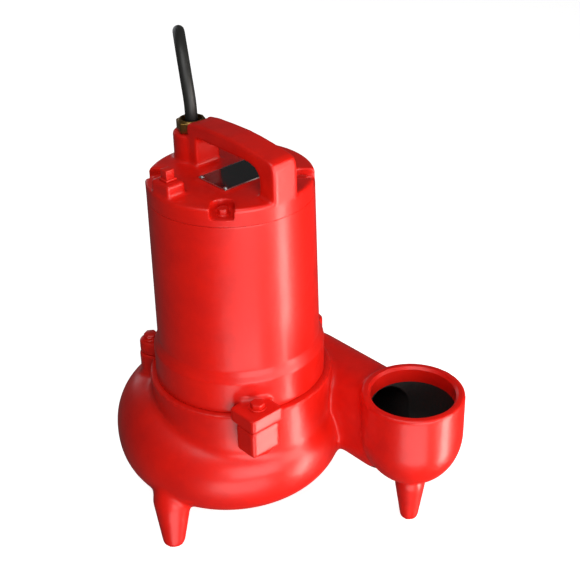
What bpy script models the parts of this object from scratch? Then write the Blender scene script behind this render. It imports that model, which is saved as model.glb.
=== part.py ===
# Submersible sewage pump: an oil-filled motor in a cast housing, bolted on a
# three-legged volute with an upright three-inch discharge hub and a top handle.
import math

import bmesh
import bpy
from mathutils import Vector

MM = 0.001

# Where the motor's axis stands, so that the origin is under the middle of the pump.
AXIS_X = -0.03325
AXIS_Y = -0.01285

# Heights above the floor, in millimetres.
FLOOR_Z = 0.0
BODY_LOW_Z = 34.0
BODY_HIGH_Z = 146.0
NECK_TOP_Z = 167.7
FLANGE_Z = 169.2
BAND_TOP_Z = 206.0
HOUSING_TOP_Z = 371.0
COVER_Z = 372.6
POCKET_Z = 380.0
CROWN_Z = 390.4
STRAP_LOW_Z = 420.0
STRAP_TOP_Z = 436.0
BOSS_TOP_Z = 419.0
RIM_Z = 165.3

# Radii and plan positions about the motor's axis, in millimetres.
VOLUTE_R = 125.5
VOLUTE_X = -21.0
VOLUTE_Y = -0.5
CAVITY_R = 115.5
NECK_R = 96.0
FLANGE_R = 89.3
MOTOR_LOW_R = 84.6
MOTOR_TOP_R = 82.5
MOTOR_BORE_R = 77.0
HUB_X = 159.0
HUB_Y = 98.0
HUB_R = 53.5
HUB_BORE_R = 44.0
INLET_R = 38.0
LUG_R = 103.0
LUG_ANGLES = (-30.0, 90.0, 210.0)
# Each foot: its place, its leg's radius, and how far the leg's top leans in.
FEET = ((HUB_X, HUB_Y, 16.5, 0.0, 0.0), (15.0, -115.0, 20.5, -5.5, 20.5), (-105.0, 59.6, 20.5, 8.2, -5.7))
FRONT_LUG = ((78.0, -72.0), (105.0, -36.0))
FRONT_EAR = ((70.0, -72.0), (106.0, -32.0))
COVER_BOLT_R = 69.5
COVER_BOLT_ANGLES = (-45.0, 45.0, 135.0, 225.0)
GLAND_X = -57.0
CORD_R = 6.2

# The coil of spare cord: its middle and its section, in millimetres.
COIL_X = -216.0
COIL_Y = 160.0
COIL_IN_R = 45.2
COIL_OUT_R = 96.3
COIL_LOW_Z = 2.0
COIL_TOP_Z = 53.2
TIE_ANGLE = 300.0

# The way the cord goes from the gland: (away from the gland, across, height).
AWAY = Vector((-0.827, 0.563, 0.0))
ACROSS = Vector((-0.563, -0.827, 0.0))
CORD_ROUTE = (
    (0.0, 0.0, 388.0), (0.0, 0.0, 412.0), (0.0, 0.0, 434.0), (1.6, 0.4, 449.0),
    (8.5, 2.1, 469.0), (29.0, 4.0, 491.0), (58.0, 4.6, 498.5), (87.0, 4.0, 491.0),
    (108.0, 2.1, 469.0), (117.0, -0.6, 437.0), (121.0, -4.5, 390.0), (123.5, -3.0, 310.0),
    (124.5, 6.0, 220.0), (122.5, 15.0, 130.0), (119.5, 16.0, 72.0), (117.6, 8.5, 39.0),
    (116.8, -13.0, 16.8), (116.5, -43.0, 8.6),
)

for old in list(bpy.data.objects):
    bpy.data.objects.remove(old, do_unlink=True)

scene = bpy.context.scene
parts = bpy.data.collections.new("sewage_pump")
tools = bpy.data.collections.new("cutters")
scene.collection.children.link(parts)
scene.collection.children.link(tools)

motor_axis = bpy.data.objects.new("motor_axis", None)
motor_axis.location = (AXIS_X, AXIS_Y, 0.0)
parts.objects.link(motor_axis)


def finish(name, color, metallic, roughness):
    """A plain surface of one colour."""
    m = bpy.data.materials.new(name)
    m.use_nodes = True
    shader = m.node_tree.nodes["Principled BSDF"]
    shader.inputs["Base Color"].default_value = (*color, 1.0)
    shader.inputs["Metallic"].default_value = metallic
    shader.inputs["Roughness"].default_value = roughness
    return m


RED = finish("red_enamel", (0.72, 0.012, 0.012), 0.0, 0.32)
STEEL = finish("steel", (0.55, 0.56, 0.58), 1.0, 0.35)
IRON = finish("machined_iron", (0.25, 0.25, 0.26), 1.0, 0.5)
BRASS = finish("brass", (0.62, 0.42, 0.17), 1.0, 0.35)
RUBBER = finish("black_rubber", (0.02, 0.02, 0.02), 0.0, 0.6)
PLATE = finish("black_plate", (0.015, 0.015, 0.018), 0.3, 0.25)
COPPER = finish("enamelled_copper", (0.45, 0.14, 0.05), 0.8, 0.4)
LAMINATION = finish("lamination_steel", (0.32, 0.33, 0.36), 0.9, 0.5)
CERAMIC = finish("ceramic", (0.82, 0.8, 0.75), 0.0, 0.3)
CARBON = finish("carbon", (0.04, 0.04, 0.04), 0.2, 0.45)
NYLON = finish("white_nylon", (0.75, 0.74, 0.7), 0.0, 0.45)
FIBRE = finish("gasket_fibre", (0.12, 0.12, 0.11), 0.0, 0.85)
BLUE = finish("blue_vinyl", (0.05, 0.1, 0.3), 0.0, 0.5)


def place(obj, material, at=(0.0, 0.0, 0.0), cutter=False, parent=motor_axis):
    """Put an object at a place about the motor's axis, in millimetres."""
    (tools if cutter else parts).objects.link(obj)
    obj.location = Vector(at) * MM
    obj.parent = parent
    if cutter:
        obj.hide_render = True
        obj.display_type = "WIRE"
    else:
        obj.data.materials.append(material)
    return obj


def from_bmesh(name, bm):
    mesh = bpy.data.meshes.new(name)
    bmesh.ops.recalc_face_normals(bm, faces=bm.faces)
    bm.to_mesh(mesh)
    bm.free()
    if hasattr(mesh, "shade_smooth"):
        mesh.shade_smooth()
        mesh.set_sharp_from_angle(angle=math.radians(35))
    return bpy.data.objects.new(name, mesh)


def turned(name, profile, steps=32, closed=True):
    """Turn a profile of (radius, height) points about +Z, closed round or ending on the axis."""
    pairs = list(zip(profile, profile[1:] + profile[:1]))
    area = sum(a[0] * b[1] - b[0] * a[1] for a, b in pairs)
    ordered = profile[::-1] if area > 0.0 else profile
    mesh = bpy.data.meshes.new(name)
    points = [(r * MM, 0.0, z * MM) for r, z in ordered]
    edges = [(i, i + 1) for i in range(len(points) - 1)]
    if closed:
        edges.append((len(points) - 1, 0))
    mesh.from_pydata(points, edges, [])
    obj = bpy.data.objects.new(name, mesh)
    screw = obj.modifiers.new("turn", "SCREW")
    screw.steps = steps
    screw.render_steps = steps
    screw.use_merge_vertices = True
    screw.merge_threshold = 0.00001
    screw.use_smooth_shade = True
    return obj


def ring(name, r_in, r_out, z_low, z_high, steps=32):
    return turned(name, [(r_out, z_high), (r_out, z_low), (r_in, z_low), (r_in, z_high)], steps)


def disc(name, r, z_low, z_high, steps=32):
    profile = [(0.0, z_high), (r, z_high), (r, z_low), (0.0, z_low)]
    return turned(name, profile, steps, closed=False)


def block(name, low, high, round_by=0.0, segments=3, upright_only=False):
    """A box between two corners, its edges rounded."""
    bm = bmesh.new()
    bmesh.ops.create_cube(bm, size=1.0)
    for v in bm.verts:
        for k in range(3):
            v.co[k] = (low[k] if v.co[k] < 0.0 else high[k]) * MM
    if round_by > 0.0:
        edges = list(bm.edges)
        if upright_only:
            edges = [e for e in bm.edges if abs(e.verts[0].co.z - e.verts[1].co.z) > 0.0001]
        bmesh.ops.bevel(bm, geom=edges, offset=round_by * MM, segments=segments,
                        profile=0.5, affect="EDGES", clamp_overlap=True)
    return from_bmesh(name, bm)


def prism(name, outline, z_low, z_high):
    """An outline in plan, (x, y) points, raised between two heights."""
    bm = bmesh.new()
    floor = [bm.verts.new((x * MM, y * MM, z_low * MM)) for x, y in outline]
    face = bm.faces.new(floor)
    top = bmesh.ops.extrude_face_region(bm, geom=[face])
    lift = [g for g in top["geom"] if isinstance(g, bmesh.types.BMVert)]
    bmesh.ops.translate(bm, verts=lift, vec=(0.0, 0.0, (z_high - z_low) * MM))
    return from_bmesh(name, bm)


def combine(obj, other, operation):
    """Join or cut an object with another one, which becomes a hidden tool."""
    step = obj.modifiers.new(other.name, "BOOLEAN")
    step.operation = operation
    step.solver = "EXACT"
    step.object = other


def add(obj, other, at=(0.0, 0.0, 0.0)):
    combine(obj, place(other, None, at, cutter=True), "UNION")


def cut(obj, other, at=(0.0, 0.0, 0.0)):
    combine(obj, place(other, None, at, cutter=True), "DIFFERENCE")


def hexagon(across_flats, turn=0.0):
    r = across_flats / math.sqrt(3.0)
    return [(r * math.cos(math.radians(turn + 60 * i)), r * math.sin(math.radians(turn + 60 * i)))
            for i in range(6)]


def on_circle(radius, degrees):
    a = math.radians(degrees)
    return radius * math.cos(a), radius * math.sin(a)


def tab(angle, r):
    """The outline of a round-ended tab that reaches in from the bolt circle."""
    x, y = on_circle(LUG_R, angle)
    a = math.radians(angle)
    outline = [(x + r * math.cos(a + t), y + r * math.sin(a + t))
               for t in (math.pi * (k / 6 - 0.5) for k in range(7))]
    outline += [(x - 22.0 * math.cos(a) + s * (r + 2.0) * math.sin(a),
                 y - 22.0 * math.sin(a) - s * (r + 2.0) * math.cos(a)) for s in (-1.0, 1.0)]
    return outline


def rounded_section(r_out, r_mid, z_low, z_high, power, count):
    """A turned profile from the axis over a rounded shoulder and back to the axis."""
    middle = 0.5 * (z_low + z_high)
    half = 0.5 * (z_high - z_low)
    points = [(0.0, z_high), (r_mid, z_high)]
    for i in range(1, count):
        a = math.pi * (0.5 - i / count)
        r = r_mid + (r_out - r_mid) * abs(math.cos(a)) ** (2.0 / power)
        s = math.copysign(abs(math.sin(a)) ** (2.0 / power), math.sin(a))
        points.append((r, middle + half * s))
    points += [(r_mid, z_low), (0.0, z_low)]
    return points


def leg(name, x, y, r, lean_x, lean_y):
    """A tapered leg from the floor up into the casting, its top leaning in."""
    bm = bmesh.new()
    rings = []
    for radius, z in ((0.55 * r - 1.0, FLOOR_Z), (0.55 * r + 0.8, 4.5), (r, 48.0), (r - 2.0, 72.0)):
        made = bmesh.ops.create_circle(bm, segments=16, radius=radius * MM)["verts"]
        share = z / 72.0
        bmesh.ops.translate(bm, verts=made,
                            vec=((x + lean_x * share) * MM, (y + lean_y * share) * MM, z * MM))
        rings.append(made)
    for low, high in zip(rings, rings[1:]):
        for i in range(16):
            bm.faces.new((low[i - 1], low[i], high[i], high[i - 1]))
    bm.faces.new(rings[0])
    bm.faces.new(rings[-1])
    return from_bmesh(name, bm)


# ---------------------------------------------------------------- volute casing
volute = turned("volute_casing", rounded_section(VOLUTE_R, 72.0, BODY_LOW_Z, BODY_HIGH_Z, 2.25, 11),
                44, closed=False)
place(volute, RED, (VOLUTE_X, VOLUTE_Y, 0.0))
add(volute, block("passage_outer", (-30.0, 56.0, 58.0), (HUB_X, 137.5, 160.0), 34.0, 4))
hub_profile = [(0.0, RIM_Z), (52.3, RIM_Z), (HUB_R, RIM_Z - 1.2), (HUB_R, 118.0)]
hub_profile += [(HUB_R * math.cos(a), 118.0 - 61.0 * math.sin(a))
                for a in (math.pi / 12 * k for k in range(1, 6))]
hub_profile += [(0.0, 57.0)]
add(volute, turned("hub_outer", hub_profile, 32, closed=False), (HUB_X, HUB_Y, 0.0))
add(volute, turned("neck_outer", [(0.0, NECK_TOP_Z), (NECK_R - 1.5, NECK_TOP_Z),
                                  (NECK_R, NECK_TOP_Z - 1.5), (NECK_R, 110.0), (0.0, 110.0)],
                   44, closed=False))
for n, angle in enumerate(LUG_ANGLES):
    add(volute, prism(f"lug_{n}", tab(angle, 13.5), 132.0, NECK_TOP_Z - 0.4))
add(volute, block("front_lug", (*FRONT_LUG[0], 138.0), (*FRONT_LUG[1], NECK_TOP_Z - 0.5), 3.0, 2))
for n, foot in enumerate(FEET):
    add(volute, leg(f"leg_{n}", *foot))
cut(volute, turned("cavity", rounded_section(CAVITY_R, 68.0, 44.0, 136.0, 2.4, 8), 36, closed=False),
    (VOLUTE_X, VOLUTE_Y, 0.0))
cut(volute, block("passage_bore", (-20.0, 65.0, 67.0), (HUB_X - 3.0, 128.0, 146.0), 26.0, 3))
bore = [(0.0, 175.0), (HUB_BORE_R + 2.5, 175.0), (HUB_BORE_R + 2.5, RIM_Z - 0.2),
        (HUB_BORE_R, RIM_Z - 3.0), (HUB_BORE_R, 110.0)]
bore += [(HUB_BORE_R * math.cos(a), 110.0 - 45.0 * math.sin(a))
         for a in (math.pi / 10 * k for k in range(1, 5))]
bore += [(0.0, 65.0)]
cut(volute, turned("hub_bore", bore, 32, closed=False), (HUB_X, HUB_Y, 0.0))
throat = [(0.0, 175.0), (84.2, 175.0), (84.2, 150.0), (78.0, 150.0), (78.0, 100.0),
          (INLET_R, 100.0), (INLET_R, 41.0), (INLET_R + 3.0, 38.0), (INLET_R + 3.0, 24.0), (0.0, 24.0)]
cut(volute, turned("throat", throat, 40, closed=False))
for n, angle in enumerate(LUG_ANGLES):
    x, y = on_circle(LUG_R, angle)
    cut(volute, disc(f"lug_hole_{n}", 3.6, 144.0, 175.0, 12), (x, y, 0.0))

# ---------------------------------------------------------------- motor housing
shell = [(MOTOR_TOP_R, HOUSING_TOP_Z), (MOTOR_LOW_R, BAND_TOP_Z + 8.0), (MOTOR_LOW_R + 1.6, BAND_TOP_Z + 3.0),
         (FLANGE_R, BAND_TOP_Z - 3.0), (FLANGE_R, FLANGE_Z), (MOTOR_BORE_R, FLANGE_Z),
         (MOTOR_BORE_R, HOUSING_TOP_Z)]
housing = place(turned("motor_housing", shell, 40), RED)
for n, angle in enumerate(LUG_ANGLES):
    add(housing, prism(f"ear_{n}", tab(angle, 12.5), FLANGE_Z + 0.2, 183.0))
add(housing, block("front_ear", (*FRONT_EAR[0], FLANGE_Z + 0.3), (*FRONT_EAR[1], 182.9), 2.5, 2, True))
for n, angle in enumerate(COVER_BOLT_ANGLES):
    x, y = on_circle(COVER_BOLT_R, angle)
    add(housing, disc(f"bolt_boss_{n}", 7.6, 352.0, HOUSING_TOP_Z - 0.3, 10), (x, y, 0.0))
for n, angle in enumerate(LUG_ANGLES):
    x, y = on_circle(LUG_R, angle)
    cut(housing, disc(f"ear_hole_{n}", 4.0, 160.0, 190.0, 12), (x, y, 0.0))
for n, angle in enumerate(COVER_BOLT_ANGLES):
    x, y = on_circle(COVER_BOLT_R, angle)
    cut(housing, disc(f"boss_hole_{n}", 3.0, 356.0, 375.0, 12), (x, y, 0.0))

# ---------------------------------------------------------------- motor cover with its handle
lid = [(0.0, CROWN_Z), (MOTOR_TOP_R - 2.0, CROWN_Z), (MOTOR_TOP_R - 0.5, CROWN_Z - 0.6),
       (MOTOR_TOP_R, CROWN_Z - 2.2), (MOTOR_TOP_R, COVER_Z), (56.0, COVER_Z), (56.0, 382.0),
       (26.0, 382.0), (26.0, 364.0), (20.3, 364.0), (20.3, 380.0), (0.0, 380.0)]
cover = place(turned("motor_cover", lid, 40, closed=False), RED)
strap = [(-47.0, 388.0), (-47.0, 430.0), (-43.0, 433.0), (-30.0, 435.0), (16.0, STRAP_TOP_Z),
         (48.0, 433.0), (74.0, 429.0), (81.0, 424.0), (82.0, 412.0), (82.0, 388.0), (60.0, 388.0),
         (61.0, 408.0), (56.0, 416.0), (46.0, STRAP_LOW_Z), (-24.0, STRAP_LOW_Z), (-32.0, 414.0),
         (-33.0, 388.0)]
bm = bmesh.new()
side = [bm.verts.new((x * MM, -15.0 * MM, z * MM)) for x, z in strap]
edge_face = bm.faces.new(side)
grown = bmesh.ops.extrude_face_region(bm, geom=[edge_face])
bmesh.ops.translate(bm, verts=[g for g in grown["geom"] if isinstance(g, bmesh.types.BMVert)],
                    vec=(0.0, 30.0 * MM, 0.0))
long_edges = [e for e in bm.edges if abs(e.verts[0].co.y - e.verts[1].co.y) < 0.0001]
bmesh.ops.bevel(bm, geom=long_edges, offset=3.0 * MM, segments=2, profile=0.5, affect="EDGES",
                clamp_overlap=True)
add(cover, from_bmesh("handle", bm))
add(cover, turned("cord_boss", [(0.0, BOSS_TOP_Z), (18.3, BOSS_TOP_Z), (19.5, BOSS_TOP_Z - 1.2),
                                (19.8, 384.0), (0.0, 384.0)], 28, closed=False), (GLAND_X, 0.0, 0.0))
add(cover, block("fill_boss", (-20.0, -79.5, 385.0), (7.0, -59.0, 403.0), 3.0, 2))
add(cover, block("plate_pad", (-12.5, -33.5, 388.0), (33.5, 33.5, 391.4), 1.5, 2, upright_only=True))
for n, angle in enumerate(COVER_BOLT_ANGLES):
    a = math.radians(angle)
    pocket = [(COVER_BOLT_R * math.cos(a) + 11.5 * math.cos(a + t),
               COVER_BOLT_R * math.sin(a) + 11.5 * math.sin(a + t))
              for t in (math.pi * (0.5 + k / 8) for k in range(9))]
    pocket += [(95.0 * math.cos(a) + s * 11.5 * math.sin(a), 95.0 * math.sin(a) - s * 11.5 * math.cos(a))
               for s in (1.0, -1.0)]
    cut(cover, prism(f"pocket_{n}", pocket, POCKET_Z, 396.0))
    x, y = on_circle(COVER_BOLT_R, angle)
    cut(cover, disc(f"cover_hole_{n}", 3.3, 365.0, 385.0, 12), (x, y, 0.0))
cut(cover, turned("cord_bore", [(0.0, 426.0), (12.6, 426.0), (12.6, 402.0), (8.0, 402.0), (8.0, 366.0),
                                (0.0, 366.0)], 20, closed=False), (GLAND_X, 0.0, 0.0))
cut(cover, disc("gland_spotface", 17.6, BOSS_TOP_Z + 0.15, 445.0, 28), (GLAND_X, 0.0, 0.0))
cut(cover, disc("fill_hole", 4.6, 366.0, 408.0, 12), (-6.5, -69.0, 0.0))
PLATE_SCREWS = ((-7.5, -28.5), (28.5, -28.5), (28.5, 28.5), (-7.5, 28.5))
for n, (x, y) in enumerate(PLATE_SCREWS):
    cut(cover, disc(f"pad_hole_{n}", 1.5, 386.5, 393.0, 8), (x, y, 0.0))

# ---------------------------------------------------------------- seal plate and gaskets
plate_profile = [(83.7, 168.8), (83.7, 150.3), (24.0, 150.0), (24.0, 138.0), (16.4, 138.0), (16.4, 146.5),
                 (10.6, 146.5), (10.6, 171.0), (23.8, 171.0), (23.8, 187.0), (31.0, 187.0), (33.0, 168.8)]
place(turned("seal_plate", plate_profile, 24), IRON)
place(ring("housing_gasket", 84.6, 88.4, 168.0, 168.9, 36), FIBRE)
place(ring("cover_gasket", 77.8, 81.8, 371.3, 372.3, 36), FIBRE)

# ---------------------------------------------------------------- shaft, rotor and stator
shaft = [(0.0, 378.0), (7.8, 378.0), (8.4, 377.0), (8.4, 364.0), (11.0, 363.0), (11.0, 345.0),
         (12.0, 344.0), (12.0, 190.0), (9.9, 188.5), (9.9, 171.5), (8.0, 170.5), (8.0, 118.0),
         (6.0, 117.0), (6.0, 76.0), (5.0, 74.5), (0.0, 74.5)]
place(turned("shaft", shaft, 16, closed=False), STEEL)
rotor = [(38.0, 334.0), (38.0, 236.0), (34.0, 233.0), (24.0, 233.0), (12.3, 240.0), (12.3, 330.0),
         (24.0, 337.0), (34.0, 337.0)]
place(turned("rotor_core", rotor, 28), LAMINATION)
place(ring("stator_core", 39.0, 76.6, 240.0, 330.0, 36), LAMINATION)
winding = [(64.0, 330.6), (66.0, 338.0), (62.0, 348.0), (54.0, 350.0), (46.0, 347.0), (43.5, 338.0),
           (44.0, 330.6)]
place(turned("upper_end_winding", winding, 28), COPPER)
lower = [(62.0, 239.4), (66.0, 232.0), (63.0, 222.0), (54.0, 219.0), (46.0, 222.0), (43.5, 232.0),
         (44.0, 239.4)]
place(turned("lower_end_winding", lower, 28), COPPER)
place(disc("thermal_protector", 9.0, 350.6, 357.6, 20), NYLON, (0.0, -54.0, 0.0))


# ---------------------------------------------------------------- bearings
def bearing(prefix, r_shaft, r_out, z_low, z_high):
    """Inner ring, outer ring, and a cage holding the balls as one piece."""
    wall = (r_out - r_shaft) * 0.27
    r_cage_in = r_shaft + wall + 0.5
    r_cage_out = r_out - wall - 0.5
    middle = 0.5 * (z_low + z_high)
    place(ring(f"{prefix}_inner_ring", r_shaft, r_shaft + wall, z_low, z_high, 24), STEEL)
    place(ring(f"{prefix}_outer_ring", r_out - wall, r_out, z_low, z_high, 28), STEEL)
    cage = place(ring(f"{prefix}_ball_cage", r_cage_in + 1.4, r_cage_out - 1.4, middle - 2.4,
                      middle + 2.4, 24), STEEL)
    ball_r = 0.5 * (r_cage_out - r_cage_in)
    for k in range(7):
        x, y = on_circle(0.5 * (r_cage_in + r_cage_out), 360.0 / 7 * k)
        bm = bmesh.new()
        bmesh.ops.create_uvsphere(bm, u_segments=6, v_segments=3, radius=ball_r * MM)
        add(cage, from_bmesh(f"{prefix}_ball_{k}", bm), (x, y, middle))


bearing("upper_bearing", 8.5, 20.0, 366.0, 378.0)
bearing("lower_bearing", 10.0, 23.5, 172.0, 186.0)
place(ring("bearing_spring", 15.5, 19.6, 378.4, 379.6, 28), STEEL)

# ---------------------------------------------------------------- mechanical seal
place(turned("seal_seat", [(16.0, 146.2), (16.0, 138.6), (13.4, 136.4), (9.4, 136.4), (9.4, 146.2)], 20), CERAMIC)
place(turned("seal_face", [(13.2, 136.1), (13.2, 133.0), (15.0, 132.6), (15.0, 127.0), (8.2, 127.0),
                           (8.2, 136.1)], 20), CARBON)
turns = 2.5
spring = bpy.data.curves.new("seal_spring", "CURVE")
spring.dimensions = "3D"
spring.bevel_depth = 1.0 * MM
spring.bevel_resolution = 1
spring.use_fill_caps = True
line = spring.splines.new("POLY")
count = 27
line.points.add(count - 1)
for i in range(count):
    a = 2.0 * math.pi * turns * i / (count - 1)
    z = 125.7 - 5.2 * i / (count - 1)
    line.points[i].co = (11.5 * MM * math.cos(a), 11.5 * MM * math.sin(a), z * MM, 1.0)
place(bpy.data.objects.new("seal_spring", spring), STEEL)

# ---------------------------------------------------------------- impeller
impeller = place(turned("impeller", [(70.0, 119.2), (71.5, 118.0), (71.5, 114.5), (24.0, 112.0),
                                     (16.0, 94.0), (6.03, 94.0), (6.03, 116.6), (8.06, 117.3), (8.06, 119.2)],
                        32), IRON)
VANES = 5
for k in range(VANES):
    outer = []
    inner = []
    for i in range(6):
        t = i / 5
        r = 14.0 + 56.0 * t
        a = math.radians(360.0 / VANES * k - 62.0 * t)
        da = math.radians(math.degrees(2.2 / r))
        outer.append((r * math.cos(a + da), r * math.sin(a + da)))
        inner.append((r * math.cos(a - da), r * math.sin(a - da)))
    add(impeller, prism(f"vane_{k}", outer + inner[::-1], 97.0, 115.6))
nut = place(prism("impeller_nut", hexagon(19.0), 84.0, 93.6), STEEL)
cut(nut, disc("nut_bore", 6.2, 80.0, 97.0, 24))

# ---------------------------------------------------------------- bolts and plugs
for n, angle in enumerate(LUG_ANGLES):
    x, y = on_circle(LUG_R, angle)
    bolt = place(disc(f"volute_bolt_{n + 1}", 3.3, 146.0, 184.0, 12), STEEL, (x, y, 0.0))
    add(bolt, prism(f"volute_bolt_head_{n}", hexagon(13.0, 10.0), 183.3, 189.5), (x, y, 0.0))
for n, angle in enumerate(COVER_BOLT_ANGLES):
    x, y = on_circle(COVER_BOLT_R, angle)
    bolt = place(disc(f"cover_bolt_{n + 1}", 2.7, 358.0, 381.0, 12), STEEL, (x, y, 0.0))
    add(bolt, prism(f"cover_bolt_head_{n}", hexagon(10.0, 20.0), POCKET_Z + 0.3, 386.5), (x, y, 0.0))
plug = place(disc("oil_plug", 4.3, 392.0, 404.5, 12), RED, (-6.5, -69.0, 0.0))
add(plug, block("oil_plug_collar", (-6.2, -6.2, 403.3), (6.2, 6.2, 405.5), 1.0, 2, True), (-6.5, -69.0, 0.0))
add(plug, block("oil_plug_square", (-4.8, -4.8, 405.0), (4.8, 4.8, 414.5), 0.8, 2), (-6.5, -69.0, 0.0))

# ---------------------------------------------------------------- nameplate
plate = place(block("nameplate", (-10.5, -31.5, 391.7), (31.5, 31.5, 392.7), 1.0, 2, True), PLATE)
for n, (x, y) in enumerate(PLATE_SCREWS):
    cut(plate, disc(f"plate_hole_{n}", 1.5, 390.0, 394.0, 8), (x, y, 0.0))
    pin = [(0.0, 394.3), (1.2, 394.2), (2.4, 393.5), (2.4, 393.0), (1.2, 393.0), (1.2, 387.0), (0.0, 387.0)]
    place(turned(f"plate_pin_{n + 1}", pin, 8, closed=False), STEEL, (x, y, 0.0))

# ---------------------------------------------------------------- cable gland and cord
gland = place(turned("gland_nut", [(12.0, 410.0), (7.0, 410.0), (7.0, 430.8), (8.4, 431.6), (11.0, 431.2),
                                   (13.4, 430.2), (13.4, 419.4), (12.0, 419.4)], 20), BRASS, (GLAND_X, 0.0, 0.0))
gland_hex = place(prism("gland_hex", hexagon(28.0, 8.0), 419.5, 430.0), None, (GLAND_X, 0.0, 0.0), cutter=True)
cut(gland_hex, disc("gland_hex_bore", 9.0, 410.0, 440.0, 20), (GLAND_X, 0.0, 0.0))
combine(gland, gland_hex, "UNION")
place(ring("cord_grommet", 6.6, 12.2, 402.4, 409.6, 24), RUBBER, (GLAND_X, 0.0, 0.0))


def smooth_line(points, spacing):
    """Points a set distance apart along a smooth curve through the given points."""
    dense = []
    for i in range(len(points) - 1):
        p0 = points[max(i - 1, 0)]
        p1, p2 = points[i], points[i + 1]
        p3 = points[min(i + 2, len(points) - 1)]
        for k in range(20):
            t = k / 20
            dense.append(0.5 * (2.0 * p1 + (p2 - p0) * t + (2.0 * p0 - 5.0 * p1 + 4.0 * p2 - p3) * t ** 2
                                + (3.0 * p1 - p0 - 3.0 * p2 + p3) * t ** 3))
    dense.append(points[-1])
    total = sum((b - a).length for a, b in zip(dense, dense[1:]))
    steps = round(total / spacing)
    line = [dense[0]]
    gone = 0.0
    for a, b in zip(dense, dense[1:]):
        gone += (b - a).length
        if gone >= total * len(line) / steps - 0.000001:
            line.append(b)
    return line


route = [Vector((GLAND_X, 0.0, 0.0)) + AWAY * d + ACROSS * o + Vector((0.0, 0.0, z))
         for d, o, z in CORD_ROUTE]
tube_line = smooth_line(route, 2.0 * 2.0 * CORD_R)
tube = bpy.data.curves.new("power_cord", "CURVE")
tube.dimensions = "3D"
tube.bevel_depth = CORD_R * MM
tube.bevel_resolution = 2
tube.use_fill_caps = True
spline = tube.splines.new("POLY")
spline.points.add(len(tube_line) - 1)
for point, p in zip(spline.points, tube_line):
    point.co = (*(p * MM), 1.0)
place(bpy.data.objects.new("power_cord", tube), RUBBER)

place(ring("cord_coil", COIL_IN_R, COIL_OUT_R, COIL_LOW_Z, COIL_TOP_Z, 40), RUBBER, (COIL_X, COIL_Y, 0.0))
tie_axis = bpy.data.objects.new("tie_axis", None)
tie_axis.parent = motor_axis
tie_axis.location = Vector((COIL_X, COIL_Y, 0.0)) * MM
tie_axis.rotation_euler = (0.0, 0.0, math.radians(TIE_ANGLE))
parts.objects.link(tie_axis)
tie = place(block("cord_tie", (COIL_IN_R - 2.0, -2.5, 0.2), (COIL_OUT_R + 2.0, 2.5, COIL_TOP_Z + 1.8), 0.6, 2), NYLON,
            parent=tie_axis)
hollow = place(block("tie_hollow", (COIL_IN_R - 0.5, -5.0, 1.6), (COIL_OUT_R + 0.5, 5.0, COIL_TOP_Z + 0.4)), None,
               cutter=True, parent=tie_axis)
combine(tie, hollow, "DIFFERENCE")

plug_axis = bpy.data.objects.new("plug_axis", None)
plug_axis.parent = motor_axis
plug_axis.location = Vector((COIL_X - 22.0, COIL_Y + 64.4, COIL_TOP_Z + 15.4)) * MM
plug_axis.rotation_euler = (0.0, math.radians(-90.0), 0.0)
parts.objects.link(plug_axis)
plug_body = place(turned("cord_plug", [(0.0, 0.0), (7.6, 0.0), (9.6, 20.0), (13.0, 24.0), (15.0, 30.0), (15.0, 50.0),
                                       (14.0, 52.0), (0.0, 52.0)], 24, closed=False), RUBBER, parent=plug_axis)
for n, (x, y, w) in enumerate(((4.0, 6.4, 3.2), (4.0, -6.4, 3.2))):
    blade = block(f"blade_{n}", (x - w, y - 0.8, 50.0), (x + w, y + 0.8, 69.0), 0.3, 1)
    combine(plug_body, place(blade, None, cutter=True, parent=plug_axis), "UNION")
ground = disc("ground_pin", 2.4, 50.0, 71.0, 12)
combine(plug_body, place(ground, None, (-7.0, 0.0, 0.0), cutter=True, parent=plug_axis), "UNION")
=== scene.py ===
# %% [markdown]
# # A sewage pump with a round coil of power cord
#
# The pump is an oil-filled motor in a painted cast housing, bolted to a volute
# on three legs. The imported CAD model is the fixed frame: every surface built here
# stands where its solid stands and rides on that solid's body. Work is done in
# millimetres about the motor's axis, because that is how a pump is drawn, and one
# matrix puts each finished mesh in its place in metres.

import math

import bmesh
import bpy
import numpy as np
from mathutils import Matrix, Vector


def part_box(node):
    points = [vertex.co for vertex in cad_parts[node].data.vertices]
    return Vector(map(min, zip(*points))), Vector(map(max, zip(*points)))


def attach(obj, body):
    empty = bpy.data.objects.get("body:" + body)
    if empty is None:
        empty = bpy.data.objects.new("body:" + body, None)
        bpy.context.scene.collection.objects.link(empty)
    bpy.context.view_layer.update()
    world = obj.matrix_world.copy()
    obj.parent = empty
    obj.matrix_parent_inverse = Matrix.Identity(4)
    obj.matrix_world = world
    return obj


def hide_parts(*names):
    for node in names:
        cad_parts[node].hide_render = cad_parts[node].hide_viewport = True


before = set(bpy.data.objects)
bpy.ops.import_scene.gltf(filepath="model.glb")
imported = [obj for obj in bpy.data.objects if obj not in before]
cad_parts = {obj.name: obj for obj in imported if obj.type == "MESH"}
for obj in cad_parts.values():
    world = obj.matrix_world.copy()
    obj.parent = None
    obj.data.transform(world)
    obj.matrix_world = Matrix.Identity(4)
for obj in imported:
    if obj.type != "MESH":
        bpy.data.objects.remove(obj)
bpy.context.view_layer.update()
MM = 0.001
shaft_low, shaft_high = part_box("shaft")
AXIS = (shaft_low + shaft_high) / 2.0
PLACE = Matrix.Translation((AXIS.x, AXIS.y, 0.0)) @ Matrix.Scale(MM, 4)
print("motor axis", [round(v, 4) for v in AXIS[:2]], "nodes", len(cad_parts))

# %% [markdown]
# ## The camera
#
# A product picture of a pump is taken from a little above, with a long lens, so
# that the upright motor keeps its straight sides and the open hub still shows its
# bore. The camera comes first, because the spare cord must lie outside its view.

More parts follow.
